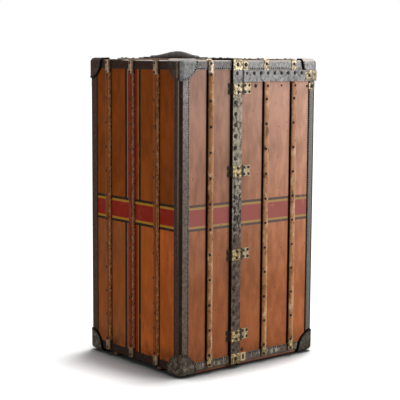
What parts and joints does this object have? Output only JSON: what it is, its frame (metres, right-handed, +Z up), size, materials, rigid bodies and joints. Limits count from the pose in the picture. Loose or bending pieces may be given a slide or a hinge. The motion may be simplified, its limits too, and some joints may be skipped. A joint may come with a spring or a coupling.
{
  "type": "wardrobe trunk",
  "caption": "Upright wardrobe trunk that opens on side hinges like a book: slatted canvas halves with fibre edging, drawers on one side, hangers under a lid on the other.",
  "frame": {"origin": "on the floor under the middle of the closed trunk", "axes": "+Z up, +X out of the broad face of the drawer half, +Y out of the hinge side"},
  "size_m": [0.6684, 0.5726, 1.1473],
  "materials": {
    "fibre": "worn grey-brown vulcanised fibre, semi-matt",
    "canvas": "varnished canvas, aged to a mottled brown",
    "slat_wood": "worn clear varnish",
    "hanger_wood": "clear varnish",
    "skid_wood": "red-brown stain, worn",
    "inner_wood": "unvarnished",
    "lined_wood": "covered with plain lining cloth",
    "brass": "tarnished",
    "nickel_steel": "satin",
    "leather": "dark, worn"
  },
  "bodies": {
    "hanging_half": {"hanging_case": "canvas", "hanging_edging": "fibre", "hinge_side_slat_2": "slat_wood", "hinge_side_slat_3": "slat_wood", "lock_side_slat_2": "slat_wood", "lock_side_slat_3": "slat_wood", "back_slat_1": "slat_wood", "back_slat_2": "slat_wood", "back_slat_3": "slat_wood", "hinge_pin_leaf_1": "brass", "hinge_pin_leaf_2": "brass", "hinge_pin_leaf_3": "brass", "hinge_pin_leaf_4": "brass", "hanging_skid_frame": "skid_wood", "lid_hinge_pin_leaf": "brass", "hanger_rail": "nickel_steel", "lock_case": "brass", "lower_latch_case": "brass", "upper_latch_case": "brass"},
    "lid": {"lid_case": "canvas", "lid_edging": "fibre", "lid_strip": "fibre", "lid_top_slat_2": "slat_wood", "lid_top_slat_3": "slat_wood", "lid_hinge_leaf": "brass"},
    "trolley": {"hanger_trolley": "nickel_steel"},
    "coat_hanger_1": {"coat_hanger_1": "hanger_wood"},
    "coat_hanger_2": {"coat_hanger_2": "hanger_wood"},
    "coat_hanger_3": {"coat_hanger_3": "hanger_wood"},
    "coat_hanger_4": {"coat_hanger_4": "hanger_wood"},
    "drawer_half": {"drawer_case": "canvas", "drawer_half_edging": "fibre", "hinge_side_slat_1": "slat_wood", "lock_side_slat_1": "slat_wood", "top_slat_1": "slat_wood", "front_slat_1": "slat_wood", "front_slat_2": "slat_wood", "front_slat_3": "slat_wood", "seam_strip": "fibre", "hinge_strap_leaf_1": "brass", "hinge_strap_leaf_2": "brass", "hinge_strap_leaf_3": "brass", "hinge_strap_leaf_4": "brass", "drawer_half_skid_frame": "skid_wood", "handle_keeper_1": "brass", "handle_keeper_2": "brass", "drawer_chest": "inner_wood", "lock_hasp_plate": "brass", "lower_hasp_plate": "brass", "upper_hasp_plate": "brass"},
    "drawer_1": {"drawer_1": "lined_wood"},
    "drawer_2": {"drawer_2": "lined_wood"},
    "drawer_3": {"drawer_3": "lined_wood"},
    "drawer_4": {"drawer_4": "lined_wood"},
    "drawer_5": {"drawer_5": "lined_wood"},
    "top_handle": {"top_handle": "leather"},
    "lock_hasp": {"lock_hasp": "brass"},
    "lower_hasp": {"lower_hasp": "brass"},
    "upper_hasp": {"upper_hasp": "brass"}
  },
  "joints": [
    {"name": "main_hinge", "type": "hinge", "parent": "hanging_half", "child": "drawer_half", "pos_m": [0.0455, 0.2783, 0.572], "axis": [0, 0, 1], "range_deg": [0, 120]},
    {"name": "lid_hinge", "type": "hinge", "parent": "hanging_half", "child": "lid", "pos_m": [-0.3258, 0, 1.0335], "axis": [0, -1, 0], "range_deg": [0, 100]},
    {"name": "trolley_slide", "type": "slide", "parent": "hanging_half", "child": "trolley", "axis": [1, 0, 0], "range_m": [0, 0.185]},
    {"name": "hanger_swing_1", "type": "hinge", "parent": "trolley", "child": "coat_hanger_1", "pos_m": [-0.236, 0, 1.005], "axis": [1, 0, 0], "range_deg": [-10, 10]},
    {"name": "hanger_swing_2", "type": "hinge", "parent": "trolley", "child": "coat_hanger_2", "pos_m": [-0.136, 0, 1.005], "axis": [1, 0, 0], "range_deg": [-10, 10]},
    {"name": "hanger_swing_3", "type": "hinge", "parent": "trolley", "child": "coat_hanger_3", "pos_m": [-0.078, 0, 1.005], "axis": [1, 0, 0], "range_deg": [-10, 10]},
    {"name": "hanger_swing_4", "type": "hinge", "parent": "trolley", "child": "coat_hanger_4", "pos_m": [-0.02, 0, 1.005], "axis": [1, 0, 0], "range_deg": [-10, 10]},
    {"name": "drawer_slide_1", "type": "slide", "parent": "drawer_half", "child": "drawer_1", "axis": [-1, 0, 0], "range_m": [0, 0.18]},
    {"name": "drawer_slide_2", "type": "slide", "parent": "drawer_half", "child": "drawer_2", "axis": [-1, 0, 0], "range_m": [0, 0.18]},
    {"name": "drawer_slide_3", "type": "slide", "parent": "drawer_half", "child": "drawer_3", "axis": [-1, 0, 0], "range_m": [0, 0.18]},
    {"name": "drawer_slide_4", "type": "slide", "parent": "drawer_half", "child": "drawer_4", "axis": [-1, 0, 0], "range_m": [0, 0.18]},
    {"name": "drawer_slide_5", "type": "slide", "parent": "drawer_half", "child": "drawer_5", "axis": [-1, 0, 0], "range_m": [0, 0.18]},
    {"name": "lock_hasp_swing", "type": "hinge", "parent": "drawer_half", "child": "lock_hasp", "pos_m": [0.061, -0.2853, 0.569], "axis": [0, 0, 1], "range_deg": [0, 150]},
    {"name": "lower_hasp_swing", "type": "hinge", "parent": "drawer_half", "child": "lower_hasp", "pos_m": [0.061, -0.2853, 0.274], "axis": [0, 0, 1], "range_deg": [0, 150]},
    {"name": "upper_hasp_swing", "type": "hinge", "parent": "drawer_half", "child": "upper_hasp", "pos_m": [0.061, -0.2853, 0.864], "axis": [0, 0, 1], "range_deg": [0, 150]},
    {"name": "handle_lift", "type": "slide", "parent": "drawer_half", "child": "top_handle", "axis": [0, 0, 1], "range_m": [0, 0.004]}
  ]
}
